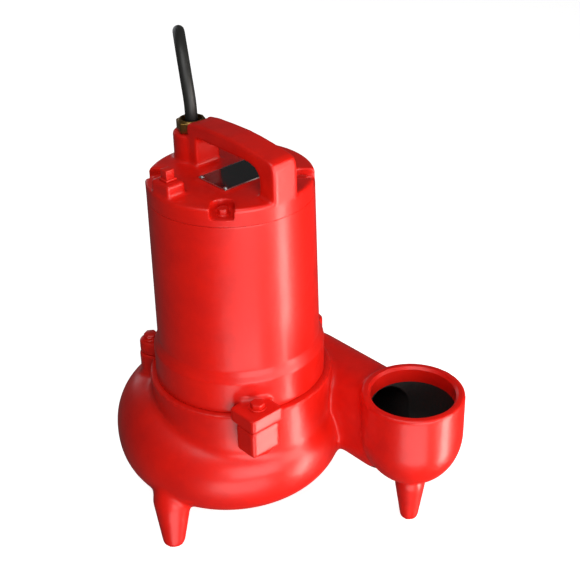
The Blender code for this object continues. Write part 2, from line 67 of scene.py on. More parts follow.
# %% Camera
eye = bpy.data.cameras.new("camera")
eye.lens = 71.379
eye.sensor_width = 36.0
camera = bpy.data.objects.new("camera", eye)
camera.location = (0.77526, -0.64453, 0.84804)
camera.rotation_euler = [math.radians(a) for a in (60.017, 1.391, 48.131)]
bpy.context.scene.collection.objects.link(camera)
bpy.context.scene.camera = camera
print("camera", [round(v, 3) for v in camera.location])

# %% [markdown]
# ## The power cord
#
# A pump of this size comes with twenty feet of round rubber cord, 12.4 mm thick.
# It is stiff: it stands straight out of its gland, bows over behind the motor and
# comes down to the floor, where the rest is wound into a coil of four layers, its
# turns a diameter apart, with the plug on top. A curve with a round bevel is the
# right tool, because the cord's line is then its real length. The line is worked
# out stage by stage as somebody winds it: round, up one layer, and round again.

# %% The route behind the motor
CORD_R = 6.2
GLAND_X = -57.0
AWAY = Vector((-0.827, 0.563, 0.0))
ACROSS = Vector((-0.563, -0.827, 0.0))
CORD_ROUTE = (
    (0.0, 0.0, 406.0), (0.0, 0.0, 418.0), (0.0, 0.0, 434.0), (1.6, 0.4, 449.0),
    (8.5, 2.1, 469.0), (29.0, 4.0, 491.0), (58.0, 4.6, 498.5), (87.0, 4.0, 491.0),
    (108.0, 2.1, 469.0), (117.0, -0.6, 437.0), (121.0, -4.5, 390.0), (123.5, -3.0, 310.0),
    (124.5, 6.0, 220.0), (122.5, 15.0, 130.0), (119.5, 16.0, 72.0), (117.6, 8.5, 39.0),
    (116.8, -13.0, 16.8), (116.5, -43.0, 8.6),
)
knots = [Vector((GLAND_X, 0.0, 0.0)) + AWAY * away + ACROSS * across + Vector((0.0, 0.0, z))
         for away, across, z in CORD_ROUTE]
STEPS_BETWEEN = 7
line = []
for i in range(len(knots) - 1):
    before, a, b = knots[max(i - 1, 0)], knots[i], knots[i + 1]
    after = knots[min(i + 2, len(knots) - 1)]
    for k in range(STEPS_BETWEEN):
        t = k / STEPS_BETWEEN
        line.append(0.5 * (2.0 * a + (b - before) * t + (2.0 * before - 5.0 * a + 4.0 * b - after) * t ** 2
                           + (3.0 * a - before - 3.0 * b + after) * t ** 3))
line.append(knots[-1])
print("route", len(line), "points")

# %% The coil
COIL = Vector((-216.0, 160.0, 0.0))
R_OUT, R_IN = 89.8, 51.7
LAYERS = (8.3, 20.9, 33.5, 46.1)
start = line[-1] - COIL
angle = math.degrees(math.atan2(start.y, start.x))
r_last, z_last = Vector((start.x, start.y)).length, start.z
TURN = 360.0
PART_SWEEP = 809.1  # the last layer stops part of the way out
R_PART = R_IN + (R_OUT - R_IN) * PART_SWEEP / (3.0 * TURN)
OVER_Z = 58.9  # one diameter above the last layer
PLUG_R, PLUG_Z = 64.4, 68.6
stages = [(80.0, R_OUT, LAYERS[0]), (3 * TURN, R_IN, LAYERS[0]), (60.0, R_IN, LAYERS[1]),
          (3 * TURN, R_OUT, LAYERS[1]), (45.0, R_OUT, LAYERS[2]), (3 * TURN, R_IN, LAYERS[2]),
          (60.0, R_IN, LAYERS[3]), (PART_SWEEP, R_PART, LAYERS[3]), (55.0, R_PART, OVER_Z),
          (90.0 + 12 * TURN, PLUG_R, PLUG_Z)]
STEP_DEG = 5.0
for number, (sweep, r_next, z_next) in enumerate(stages):
    if number == len(stages) - 1:
        sweep -= angle
    steps = max(4, round(sweep / STEP_DEG))
    for k in range(1, steps + 1):
        t = k / steps
        ease = t if sweep > TURN else t * t * (3.0 - 2.0 * t)
        r = r_last + (r_next - r_last) * ease
        z = z_last + (z_next - z_last) * ease
        a = math.radians(angle + sweep * t)
        line.append(COIL + Vector((r * math.cos(a), r * math.sin(a), z)))
    angle, r_last, z_last = angle + sweep, r_next, z_next
line += [line[-1] + Vector((-x, 0.0, 0.0)) for x in (8.0, 16.0, 24.0, 34.0)]
cord_length = sum((b - a).length for a, b in zip(line, line[1:])) * MM
print("cord", round(cord_length, 3), "m in", len(line), "points, ends at", round(angle % TURN, 1), "degrees")

# %% The cord's curve
cord_curve = bpy.data.curves.new("power_cord_line", "CURVE")
cord_curve.dimensions = "3D"
cord_curve.bevel_depth = 1.0
cord_curve.bevel_resolution = 5
cord_curve.use_fill_caps = True
spline = cord_curve.splines.new("POLY")
spline.points.add(len(line) - 1)
for point, p in zip(spline.points, line):
    point.co = (*(PLACE @ p), 1.0)
    point.radius = CORD_R * MM
spline.use_smooth = True
power_cord = bpy.data.objects.new("cord_jacket", cord_curve)
bpy.context.scene.collection.objects.link(power_cord)
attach(power_cord, "pump_body")
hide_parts("power_cord", "cord_coil")

# %% [markdown]
# ## Floor and light
#
# The pump stands on a pale matt sweep. Only the camera sees it: it neither lights
# nor shades the pump, so soft boxes can stand below the bench's level and keep
# the undersides of the castings readable. One tall box to the right of the camera
# draws the long pale band down the motor, a big soft one in front fills the
# castings, and the left side is left to fall into deep red.

# %% World and floor
scene = bpy.context.scene
scene.view_settings.view_transform = "Standard"
scene.view_settings.look = "None"


def linear(hex_colour, alpha=1.0):
    """An sRGB hex colour as the linear numbers that Blender's sockets hold."""
    parts = [int(hex_colour[i:i + 2], 16) / 255.0 for i in (1, 3, 5)]
    return (*(c / 12.92 if c <= 0.04045 else ((c + 0.055) / 1.055) ** 2.4 for c in parts), alpha)


def add(tree, kind, inputs=None, **settings):
    """Add a node: its settings by name, its sockets by name or number, as values or links."""
    made = tree.nodes.new(kind)
    for name, value in settings.items():
        setattr(made, name, value)
    for name, value in (inputs or {}).items():
        if isinstance(value, bpy.types.NodeSocket):
            tree.links.new(value, made.inputs[name])
        else:
            made.inputs[name].default_value = value
    return made


world = bpy.data.worlds.new("studio")
scene.world = world
world.use_nodes = True
world.node_tree.nodes["Background"].inputs["Color"].default_value = linear("#f4f6f8")
world.node_tree.nodes["Background"].inputs["Strength"].default_value = 0.08

floor_paint = bpy.data.materials.new("matt_white_sweep")
floor_paint.use_nodes = True
tree = floor_paint.node_tree
where = add(tree, "ShaderNodeTexCoord")
mottle = add(tree, "ShaderNodeTexNoise", {"Vector": where.outputs["Object"], "Scale": 3.0, "Detail": 3.0})
tone = add(tree, "ShaderNodeMix", {0: mottle.outputs["Fac"], 6: linear("#f6f5f3"), 7: linear("#f1f1ef")},
           data_type="RGBA")
surface = tree.nodes["Principled BSDF"]
tree.links.new(tone.outputs[2], surface.inputs["Base Color"])
surface.inputs["Roughness"].default_value = 0.9
surface.inputs["Emission Color"].default_value = linear("#ffffff")
surface.inputs["Emission Strength"].default_value = 0.8

bm = bmesh.new()
bmesh.ops.create_grid(bm, x_segments=2, y_segments=2, size=9.0)
floor_mesh = bpy.data.meshes.new("floor")
bm.to_mesh(floor_mesh)
bm.free()
floor = bpy.data.objects.new("floor", floor_mesh)
floor_mesh.materials.append(floor_paint)
scene.collection.objects.link(floor)
floor.visible_diffuse = floor.visible_glossy = floor.visible_shadow = False

# %% Soft boxes
SOFT_BOXES = (  # name, azimuth, height of its middle, distance, width, height, power, colour
    ("band_box", 29.0, -0.16, 0.95, 0.22, 0.90, 9.0, "#fff6ee"),
    ("key_box", 24.0, 0.60, 1.40, 0.80, 0.80, 12.0, "#fff6ee"),
    ("fill_box", -20.0, 0.30, 2.00, 1.60, 1.30, 31.0, "#ffffff"),
    ("low_box", -35.0, -0.60, 1.00, 1.00, 0.50, 5.5, "#ffffff"),
    ("top_box", -50.0, 2.00, 0.90, 1.60, 1.60, 22.0, "#ffffff"),
    ("back_box", 165.0, 0.50, 2.20, 1.00, 0.60, 2.5, "#f4f8ff"),
)
aim = Vector((0.0, 0.0, 0.22))
for name, azimuth, z, distance, width, height, power, tint in SOFT_BOXES:
    lamp = bpy.data.lights.new(name, "AREA")
    lamp.shape = "RECTANGLE"
    lamp.size, lamp.size_y = width, height
    lamp.energy = power
    lamp.color = linear(tint)[:3]
    box = bpy.data.objects.new(name, lamp)
    a = math.radians(azimuth)
    box.location = (distance * math.cos(a), distance * math.sin(a), z)
    box.rotation_euler = (aim - box.location).to_track_quat("-Z", "Y").to_euler()
    box.visible_camera = False
    scene.collection.objects.link(box)
print("lights", [row[0] for row in SOFT_BOXES])

# %% [markdown]
# ## Finishes
#
# Every finish on the pump is a base colour that is never quite even, a grain that
# catches light, and a sheen that varies with both. One recipe makes them all from
# real sizes: broad patches of colour, a fine grain as bump, and optional edges
# where the finish has worn thin. Colours are sRGB hex, sizes are millimetres.

# %% One recipe for a finish
FINISHES = {}


def finish(name, light, dark, patch_mm, sheen, grains, metal=0.0, ior=1.5, worn=None, coat=None,
           stretch=None):
    """A surface: two colours in patches, (size, depth) grains in mm, a sheen that wanders, worn edges."""
    m = bpy.data.materials.new(name)
    m.use_nodes = True
    tree = m.node_tree
    shader = tree.nodes["Principled BSDF"]
    where = add(tree, "ShaderNodeTexCoord").outputs["Object"]
    if stretch:
        where = add(tree, "ShaderNodeMapping", {"Vector": where, "Scale": stretch}).outputs["Vector"]
    patches = add(tree, "ShaderNodeTexNoise", {"Vector": where, "Scale": 1000.0 / patch_mm, "Detail": 4.0,
                                               "Roughness": 0.6}).outputs["Fac"]
    spread = add(tree, "ShaderNodeMapRange", {"Value": patches, "From Min": 0.3, "From Max": 0.7}).outputs[0]
    colour = add(tree, "ShaderNodeMix", {0: spread, 6: linear(light), 7: linear(dark)},
                 data_type="RGBA").outputs[2]
    if worn:
        edge = add(tree, "ShaderNodeNewGeometry").outputs["Pointiness"]
        bare = add(tree, "ShaderNodeMapRange", {"Value": edge, "From Min": worn[1], "From Max": worn[2],
                                                "To Max": worn[3]}).outputs[0]
        broken = add(tree, "ShaderNodeMath", {0: bare, 1: spread}, operation="MULTIPLY").outputs[0]
        colour = add(tree, "ShaderNodeMix", {0: broken, 6: colour, 7: linear(worn[0])},
                     data_type="RGBA").outputs[2]
    tree.links.new(colour, shader.inputs["Base Color"])
    shine = add(tree, "ShaderNodeMapRange", {"Value": patches, "From Min": 0.3, "From Max": 0.7,
                                             "To Min": sheen[0], "To Max": sheen[1]}).outputs[0]
    tree.links.new(shine, shader.inputs["Roughness"])
    normal = None
    for size, depth in grains:
        grain = add(tree, "ShaderNodeTexNoise", {"Vector": where, "Scale": 1000.0 / size,
                                                 "Detail": 2.0}).outputs["Fac"]
        bump = add(tree, "ShaderNodeBump", {"Height": grain, "Strength": 1.0, "Distance": depth * MM})
        if normal:
            tree.links.new(normal, bump.inputs["Normal"])
        normal = bump.outputs["Normal"]
    tree.links.new(normal, shader.inputs["Normal"])
    shader.inputs["Metallic"].default_value = metal
    if metal < 0.5:
        shader.inputs["IOR"].default_value = ior
    if coat:
        shader.inputs["Coat Weight"].default_value = coat[0]
        shader.inputs["Coat Roughness"].default_value = coat[1]
    FINISHES[name] = m
    return m


# %% [markdown]
# **Red enamel on cast iron** is what the pump is known by. It is sprayed thick and
# wet over a sand casting: the sand's grain is still felt under it, the paint has a
# faint orange peel, and it thins a little on edges. The gloss is soft, so a light
# makes a broad pale band and not a mirror picture.

# %% Red enamel
red_enamel = finish("sprayed_red_enamel_on_cast_iron", "#dd1709", "#c81007", 38.0, (0.33, 0.41),
                    ((16.0, 0.28), (2.4, 0.035), (0.9, 0.02)), ior=1.42,
                    worn=("#e5301f", 0.53, 0.62, 0.4), coat=(0.15, 0.18))

# %% [markdown]
# ** Metals and plastics.** Machined iron is grey and dull with oil. The bare
# iron that the water touches is coloured nearly black, as painted shade for the
# deep openings. The gland is turned brass gone brown in a damp pit. The rubber of
# a cord is matt with a fine skin, the plate is black-filled anodised aluminium, and
# inside the motor are varnished copper, blued laminations, ground steel and seal carbon.

# %% The other finishes
finish("oiled_machined_iron", "#6d6c69", "#56544f", 14.0, (0.38, 0.55), ((0.9, 0.02),), metal=1.0)
# Bare iron inside the volute, coloured near black: painted shade for its deep openings.
finish("bare_iron_painted_shade_black", "#241a18", "#120d0c", 12.0, (0.6, 0.8), ((1.6, 0.12), (7.0, 0.2)), ior=1.6)
finish("tarnished_turned_brass", "#a57c3c", "#5b4223", 7.0, (0.28, 0.46), ((1.2, 0.02),), metal=1.0,
       worn=("#d9b066", 0.52, 0.6, 0.8))
finish("moulded_black_rubber", "#262624", "#171716", 22.0, (0.42, 0.56), ((1.1, 0.03), (6.0, 0.05)), ior=1.52)
finish("black_filled_aluminium", "#0c0c0d", "#151416", 9.0, (0.14, 0.24), ((1.4, 0.006),), ior=1.49,
       coat=(0.6, 0.08))
finish("brushed_aluminium", "#c9c9c6", "#aeb0b0", 6.0, (0.3, 0.42), ((0.5, 0.008),), metal=1.0,
       stretch=(1.0, 12.0, 1.0))
finish("zinc_plated_steel", "#b9bcbb", "#8f9497", 8.0, (0.28, 0.42), ((0.8, 0.012),), metal=1.0)
finish("ground_steel", "#a9abad", "#8d9093", 12.0, (0.2, 0.34), ((0.7, 0.006),), metal=1.0,
       stretch=(1.0, 1.0, 10.0))
finish("varnished_copper_winding", "#9c4a20", "#6e2f12", 5.0, (0.25, 0.4), ((1.1, 0.2),), metal=0.7)
finish("blued_core_laminations", "#5a5e66", "#43464d", 20.0, (0.4, 0.55), ((0.6, 0.03),), metal=0.9,
       stretch=(1.0, 1.0, 30.0))
finish("glazed_seal_ceramic", "#e9e5da", "#dcd6c8", 10.0, (0.12, 0.2), ((1.5, 0.004),), ior=1.7)
finish("pressed_seal_carbon", "#26262a", "#191a1c", 6.0, (0.3, 0.42), ((0.6, 0.01),), ior=1.9)
finish("white_nylon", "#e6e4dc", "#d6d3c8", 12.0, (0.34, 0.48), ((1.0, 0.012),), ior=1.53)
finish("pressed_gasket_fibre", "#33322e", "#242321", 3.0, (0.75, 0.9), ((0.7, 0.08),), ior=1.45)
finish("cast_bronze_impeller", "#77706a", "#4f4a45", 11.0, (0.42, 0.6), ((1.3, 0.08), (7.0, 0.2)), metal=1.0)
print("finishes", len(FINISHES))

# %% [markdown]
# ## The workshop
#
# The castings are put together as a pattern maker does it: simple turned and
# bevelled solids are set into each other, and the joint is filled. Here the
# pieces overlap in one mesh, a voxel remesh makes them one skin, and that skin is
# relaxed so that hollow corners fill up into fillets while the outer edges only
# lose their sharpness. Bores that a lathe cuts come last, with a boolean, so that
# they stay crisp.

# %% Turned, boxed and raised solids
def turned(bm, profile, steps, at=(0.0, 0.0, 0.0), closed=False):
    """Spin a line of (radius, height) points about an upright axis. A closed line makes a ring."""
    old = set(bm.verts)
    verts = [bm.verts.new((r, 0.0, z)) for r, z in profile]
    edges = [bm.edges.new(pair) for pair in zip(verts, verts[1:])]
    if closed:
        edges.append(bm.edges.new((verts[-1], verts[0])))
    bmesh.ops.spin(bm, geom=verts + edges, cent=(0.0, 0.0, 0.0), axis=(0.0, 0.0, 1.0), angle=2.0 * math.pi,
                   steps=steps, use_merge=True)
    new = [v for v in bm.verts if v not in old]
    bmesh.ops.remove_doubles(bm, verts=new, dist=0.0005)
    new = [v for v in bm.verts if v not in old]
    bmesh.ops.translate(bm, verts=new, vec=at)
    bmesh.ops.recalc_face_normals(bm, faces=list({f for v in new for f in v.link_faces}))
    return new


def boxed(bm, low, high, round_by=0.0, segments=6, edges="all"):
    """A box between two corners, with all its edges, its upright ones or its top ones bevelled."""
    old = set(bm.verts)
    made = bmesh.ops.create_cube(bm, size=1.0)["verts"]
    size = [b - a for a, b in zip(low, high)]
    middle = [(a + b) / 2.0 for a, b in zip(low, high)]
    bmesh.ops.scale(bm, verts=made, vec=size)
    bmesh.ops.translate(bm, verts=made, vec=middle)
    if round_by > 0.0:
        chosen = list({e for v in made for e in v.link_edges})
        if edges == "upright":
            chosen = [e for e in chosen if abs(e.verts[0].co.z - e.verts[1].co.z) > 0.001]
        if edges == "top":
            chosen = [e for e in chosen if min(v.co.z for v in e.verts) > high[2] - 0.001]
        bmesh.ops.bevel(bm, geom=chosen, offset=round_by, segments=segments, profile=0.5, affect="EDGES",
                        material=-1, clamp_overlap=True)
    return [v for v in bm.verts if v not in old]


def raised(bm, outline, low, high, across="z"):
    """An outline raised between two levels: (x, y) points along z, or (x, z) points along y."""
    old = set(bm.verts)
    if across == "z":
        base = [bm.verts.new((a, b, low)) for a, b in outline]
        lift = (0.0, 0.0, high - low)
    else:
        base = [bm.verts.new((a, low, b)) for a, b in outline]
        lift = (0.0, high - low, 0.0)
    top = bmesh.ops.extrude_face_region(bm, geom=[bm.faces.new(base)])
    bmesh.ops.translate(bm, verts=[g for g in top["geom"] if isinstance(g, bmesh.types.BMVert)], vec=lift)
    new = [v for v in bm.verts if v not in old]
    bmesh.ops.recalc_face_normals(bm, faces=list({f for v in new for f in v.link_faces}))
    return new


def polar(radius, degrees):
    return radius * math.cos(math.radians(degrees)), radius * math.sin(math.radians(degrees))


# %% From a mesh in work to a finished piece
def on_bench(bm, name):
    """A bmesh as an object on the bench, still in millimetres."""
    mesh = bpy.data.meshes.new(name)
    bm.to_mesh(mesh)
    bm.free()
    obj = bpy.data.objects.new(name, mesh)
    scene.collection.objects.link(obj)
    return obj


def settle(obj):
    """Fix an object's modifiers into its mesh."""
    graph = bpy.context.evaluated_depsgraph_get()
    mesh = bpy.data.meshes.new_from_object(obj.evaluated_get(graph))
    obj.modifiers.clear()
    old, obj.data = obj.data, mesh
    bpy.data.meshes.remove(old)
    return obj


def cut(obj, bm, name="cutter"):
    """Take a cutter's shape away from an object."""
    tool = on_bench(bm, name)
    step = obj.modifiers.new(name, "BOOLEAN")
    step.operation, step.solver, step.object = "DIFFERENCE", "EXACT", tool
    settle(obj)
    bpy.data.objects.remove(tool, do_unlink=True)
    return obj


def skin(obj, voxel):
    """One closed skin over solids that overlap."""
    step = obj.modifiers.new("skin", "REMESH")
    step.mode, step.voxel_size = "VOXEL", voxel
    return settle(obj)


def deliver(obj, name, material, body, slot, *nodes, crease=38.0):
    """Put a piece in its place: metres, shading, finish, body and the nodes it stands for. The slot is not
    used.
    """
    obj.name = name
    obj.data.transform(PLACE)
    obj.data.shade_smooth()
    obj.data.set_sharp_from_angle(angle=math.radians(crease))
    if not obj.data.materials:
        obj.data.materials.append(material)
    else:
        obj.data.materials[0] = material
    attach(obj, body)
    if nodes:
        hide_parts(*nodes)
    obj.data.calc_loop_triangles()
    print(name, len(obj.data.loop_triangles), "triangles")
    return obj


# %% Relaxing a cast skin
def relax(obj, soften, fill, rounds=()):
    """Soften edges, fill hollow corners outwards only, and true up turned walls.

    A turned wall is (x, y, heights, radii at those heights, reach), in millimetres.
    """
    mesh = obj.data
    points = np.empty(len(mesh.vertices) * 3)
    mesh.vertices.foreach_get("co", points)
    points = points.reshape(-1, 3)
    ends = np.empty(len(mesh.edges) * 2, np.int32)
    mesh.edges.foreach_get("vertices", ends)
    ends = ends.reshape(-1, 2)
    share = np.bincount(ends.ravel(), minlength=len(points))[:, None]

    def towards_neighbours():
        total = np.empty_like(points)
        for k in range(3):
            total[:, k] = (np.bincount(ends[:, 0], points[ends[:, 1], k], len(points))
                           + np.bincount(ends[:, 1], points[ends[:, 0], k], len(points)))
        return total / share - points

    for _ in range(soften):
        points += 0.5 * towards_neighbours()
    normals = np.empty(len(points) * 3)
    for step in range(fill):
        if step % 5 == 0:
            mesh.vertices.foreach_set("co", points.ravel())
            mesh.update()
            mesh.vertices.foreach_get("normal", normals)
        n = normals.reshape(-1, 3)
        out = (towards_neighbours() * n).sum(1).clip(min=0.0)
        points += 0.9 * out[:, None] * n
    for _ in range(2):
        points += 0.35 * towards_neighbours()
    for x, y, heights, radii, reach in rounds:
        flat = points[:, :2] - (x, y)
        r = np.hypot(flat[:, 0], flat[:, 1])
        want = np.interp(points[:, 2], heights, radii)
        inside = (points[:, 2] > heights[0]) & (points[:, 2] < heights[-1])
        near = np.clip(1.6 - np.abs(r - want) / reach, 0.0, 1.0) * inside
        points[:, :2] += flat * ((want - r) * near / np.maximum(r, 1.0))[:, None]
    mesh.vertices.foreach_set("co", points.ravel())
    mesh.update()
    return obj


# %% [markdown]
# ## The volute casing
#
# The volute is the snail shell that the impeller spins in. Water goes round its
# ring, out through a boxed passage and up through an upright hub with a bored
# mouth. Three tapered legs hold the inlet off the floor, and three lugs take the
# bolts of the motor flange. It is one thick iron casting, so it is modelled as
# one skin. The red paint reaches a little way down into the hub. Below that line
# the bore, the passage and the chamber are bare iron coloured near black, which is
# painted shade for the deep opening.

# %% Volute: the outside
VOLUTE = (-21.0, -0.5, 0.0)
SHELL_LOW, SHELL_HIGH = 34.0, 146.0
SHELL_MIDDLE, SHELL_HALF = 90.0, 56.0
HUB = (159.0, 98.0, 0.0)
HUB_R, RIM_Z = 53.5, 165.3
DOME_Z = 118.0
NECK_R, NECK_TOP = 96.0, 168.4
LUG_R, LUG_ANGLES = 103.0, (-30.0, 90.0, 210.0)
LEG_TOP = 72.0
# The shell's shoulder is lower on the side where the scroll begins.
LOW_SIDE, SHOULDER_DROP = math.radians(-20.0), 15.0
# Each foot: its place, its leg's radius, and how far the leg's top leans in.
FEET = ((HUB[0], HUB[1], 16.5, 0.0, 0.0), (15.0, -115.0, 20.5, -12.5, 12.0),
        (-105.0, 59.6, 20.5, 8.2, -5.7))


def rounded_section(r_out, r_mid, z_low, z_high, power, count):
    """A line from the axis out over a rounded shoulder and back to the axis."""
    middle, half = 0.5 * (z_low + z_high), 0.5 * (z_high - z_low)
    points = [(0.0, z_high), (r_mid, z_high)]
    for i in range(1, count):
        a = math.pi * (0.5 - i / count)
        points.append((r_mid + (r_out - r_mid) * abs(math.cos(a)) ** (2.0 / power),
                       middle + half * math.copysign(abs(math.sin(a)) ** (2.0 / power), math.sin(a))))
    return points + [(r_mid, z_low), (0.0, z_low)]


def drop_shoulder(verts):
    """Lower the upper half of a turned shell towards its low side."""
    for v in verts:
        share = max(0.0, v.co.x * math.cos(LOW_SIDE) + v.co.y * math.sin(LOW_SIDE)) / NECK_R
        v.co.z -= SHOULDER_DROP * min(share, 1.1) * max(0.0, v.co.z - SHELL_MIDDLE) / SHELL_HALF


def lug(bm, degrees, r, z_low, z_high):
    """A round-ended tab that reaches in from the bolt circle to the casting."""
    x, y = polar(LUG_R, degrees)
    a = math.radians(degrees)
    outline = [(x + r * math.cos(a + t), y + r * math.sin(a + t))
               for t in (math.pi * (k / 12 - 0.5) for k in range(13))]
    outline += [(x - 22.0 * math.cos(a) + s * (r + 2.0) * math.sin(a),
                 y - 22.0 * math.sin(a) - s * (r + 2.0) * math.cos(a)) for s in (-1.0, 1.0)]
    return raised(bm, outline, z_low, z_high)


bm = bmesh.new()
shell_line = rounded_section(125.5, 72.0, SHELL_LOW, SHELL_HIGH, 2.25, 44)
drop_shoulder(turned(bm, shell_line, 160, VOLUTE))
boxed(bm, (-30.0, 56.0, 58.0), (HUB[0], 137.5, 160.0), 34.0, 14)
hub_line = [(0.0, RIM_Z), (HUB_R - 0.6, RIM_Z), (HUB_R, RIM_Z - 0.8), (HUB_R, DOME_Z)]
hub_line += [(HUB_R * math.cos(a), DOME_Z - 61.0 * math.sin(a))
             for a in (math.pi / 40 * k for k in range(1, 20))]
turned(bm, hub_line + [(0.0, 57.0)], 128, HUB)
turned(bm, [(0.0, NECK_TOP), (95.6, NECK_TOP), (NECK_R, 168.0), (NECK_R, 110.0), (0.0, 110.0)], 160)
for degrees in LUG_ANGLES:
    lug(bm, degrees, 13.5, 132.0, 168.0)
boxed(bm, (78.0, -72.0, 137.0), (105.0, -36.0, 168.0), 2.5, 4)
for x, y, r, lean_x, lean_y in FEET:
    leg = turned(bm, [(0.0, LEG_TOP), (r - 2.0, LEG_TOP), (r, 48.0), (0.55 * r + 0.8, 3.0),
                      (0.55 * r - 0.4, 0.0), (0.0, 0.0)], 48)
    lean = Matrix.Shear("XY", 4, (lean_x / LEG_TOP, lean_y / LEG_TOP))
    bmesh.ops.transform(bm, matrix=Matrix.Translation((x, y, 0.0)) @ lean, verts=leg)
volute = skin(on_bench(bm, "volute_work"), 1.8)
relax(volute, 2, 14, [(0.0, 0.0, [136.0, 166.0], [NECK_R, NECK_R], 0.8),
                      (HUB[0], HUB[1], [120.0, 162.0], [HUB_R, HUB_R], 0.8)])
print("volute skin", len(volute.data.vertices), "points")

# %% Volute: the bores
BORE_R, BORE_DOME_Z, BORE_DEEP = 44.0, 110.0, 45.0
# Below this height the hub's bore takes the near-black finish, which is painted shade for the dark inside of
# the opening.
RED_ABOVE_PAINTED_SHADE_Z = 147.0
PASSAGE_LOW, PASSAGE_HIGH = (-20.0, 65.0, 67.0), (HUB[0] - 3.0, 128.0, 146.0)
CHAMBER_R, CHAMBER_FLAT_R, CHAMBER_HALF, CHAMBER_POWER = 115.5, 68.0, 46.0, 2.4
bm = bmesh.new()
chamber_line = rounded_section(CHAMBER_R, CHAMBER_FLAT_R, SHELL_MIDDLE - CHAMBER_HALF,
                               SHELL_MIDDLE + CHAMBER_HALF, CHAMBER_POWER, 16)
drop_shoulder(turned(bm, chamber_line, 72, VOLUTE))
cut(volute, bm)
bm = bmesh.new()
boxed(bm, PASSAGE_LOW, PASSAGE_HIGH, 26.0, 6)
cut(volute, bm)
bm = bmesh.new()
bore = [(0.0, 175.0), (BORE_R + 2.5, 175.0), (BORE_R + 2.5, RIM_Z - 0.4), (BORE_R, RIM_Z - 3.0),
        (BORE_R, RED_ABOVE_PAINTED_SHADE_Z), (BORE_R, BORE_DOME_Z)]
bore += [(BORE_R * math.cos(a), BORE_DOME_Z - BORE_DEEP * math.sin(a))
         for a in (math.pi / 20 * k for k in range(1, 10))]
turned(bm, bore + [(0.0, BORE_DOME_Z - BORE_DEEP)], 128, HUB)
cut(volute, bm)
bm = bmesh.new()
turned(bm, [(0.0, 175.0), (84.2, 175.0), (84.2, 150.0), (78.0, 150.0), (78.0, 100.0), (38.0, 100.0),
            (38.0, 41.0), (41.0, 38.0), (41.0, 24.0), (0.0, 24.0)], 128)
cut(volute, bm)
bm = bmesh.new()
for degrees in LUG_ANGLES:
    turned(bm, [(0.0, 175.0), (3.6, 175.0), (3.6, 144.0), (0.0, 144.0)], 24, (*polar(LUG_R, degrees), 0.0))
cut(volute, bm)

# %% Volute: bare iron inside, near black as painted shade
volute.data.materials.append(red_enamel)
volute.data.materials.append(FINISHES["bare_iron_painted_shade_black"])
# Faces in the bore, the passage and the chamber get the near-black finish: bare iron, made dark as painted
# shade.
bare = 0
for face in volute.data.polygons:
    c = face.center
    from_hub = math.hypot(c.x - HUB[0], c.y - HUB[1]) / BORE_R
    below_dome = max(0.0, BORE_DOME_Z - c.z) / BORE_DEEP
    in_bore = c.z < RED_ABOVE_PAINTED_SHADE_Z and math.hypot(from_hub, below_dome) < 1.02
    in_passage = (PASSAGE_LOW[0] - 1.0 < c.x < HUB[0]
                  and PASSAGE_LOW[1] - 0.5 < c.y < PASSAGE_HIGH[1] + 0.5
                  and PASSAGE_LOW[2] - 0.5 < c.z < PASSAGE_HIGH[2] + 0.5)
    from_axis = max(0.0, math.hypot(c.x - VOLUTE[0], c.y - VOLUTE[1]) - CHAMBER_FLAT_R)
    outward = (from_axis / (CHAMBER_R - CHAMBER_FLAT_R)) ** CHAMBER_POWER
    upward = (abs(c.z - SHELL_MIDDLE) / CHAMBER_HALF) ** CHAMBER_POWER
    in_chamber = outward + upward < 1.08
    face.material_index = 1 if in_bore or in_passage or in_chamber else 0
    bare += face.material_index
print("bare faces", bare, "of", len(volute.data.polygons))
deliver(volute, "volute_body", red_enamel, "pump_body", "red_enamel", "volute_casing")

# %% [markdown]
# ## The motor housing
#
# The housing is a turned-looking casting, a little narrower at the top for the
# mould's draft, with a flared band at its foot and three ears for the bolts.

# %% Motor housing
SHELL = [(82.5, 372.2), (84.6, 214.0), (86.2, 209.0), (89.3, 203.0), (89.3, 169.2)]
bm = bmesh.new()
turned(bm, [(0.0, 373.4), (82.5, 373.4)] + SHELL[1:-1] + [(89.3, 168.0), (0.0, 168.0)], 160)
for degrees in LUG_ANGLES:
    lug(bm, degrees, 12.5, 168.0, 183.0)
boxed(bm, (70.0, -72.0, 168.0), (106.0, -32.0, 182.9), 2.5, 4, edges="upright")
housing = skin(on_bench(bm, "housing_work"), 1.6)
heights = [160.0, 203.0, 209.0, 214.0, 375.0]
relax(housing, 3, 14, [(0.0, 0.0, heights, [89.3, 89.3, 86.2, 84.6, 82.5], 0.7)])
bm = bmesh.new()
turned(bm, [(0.0, 390.0), (120.0, 390.0), (120.0, 372.2), (77.0, 372.2), (77.0, 168.9), (120.0, 168.9),
            (120.0, 150.0), (0.0, 150.0)], 128)
cut(housing, bm)
bm = bmesh.new()
for degrees in LUG_ANGLES:
    turned(bm, [(0.0, 200.0), (4.0, 200.0), (4.0, 150.0), (0.0, 150.0)], 24, (*polar(LUG_R, degrees), 0.0))
cut(housing, bm)
deliver(housing, "motor_shell", red_enamel, "pump_body", "red_enamel", "motor_housing")

# %% [markdown]
# ## The motor cover with its handle
#
# The cover, the arched handle, the boss for the cord gland, the raised filler boss
# and the flat pad for the plate are one casting. Four pockets at the rim let the
# screws sit low. The pockets are cast, so they go in before the skin is relaxed,
# and the gland's seat and the filler hole are cut afterwards.

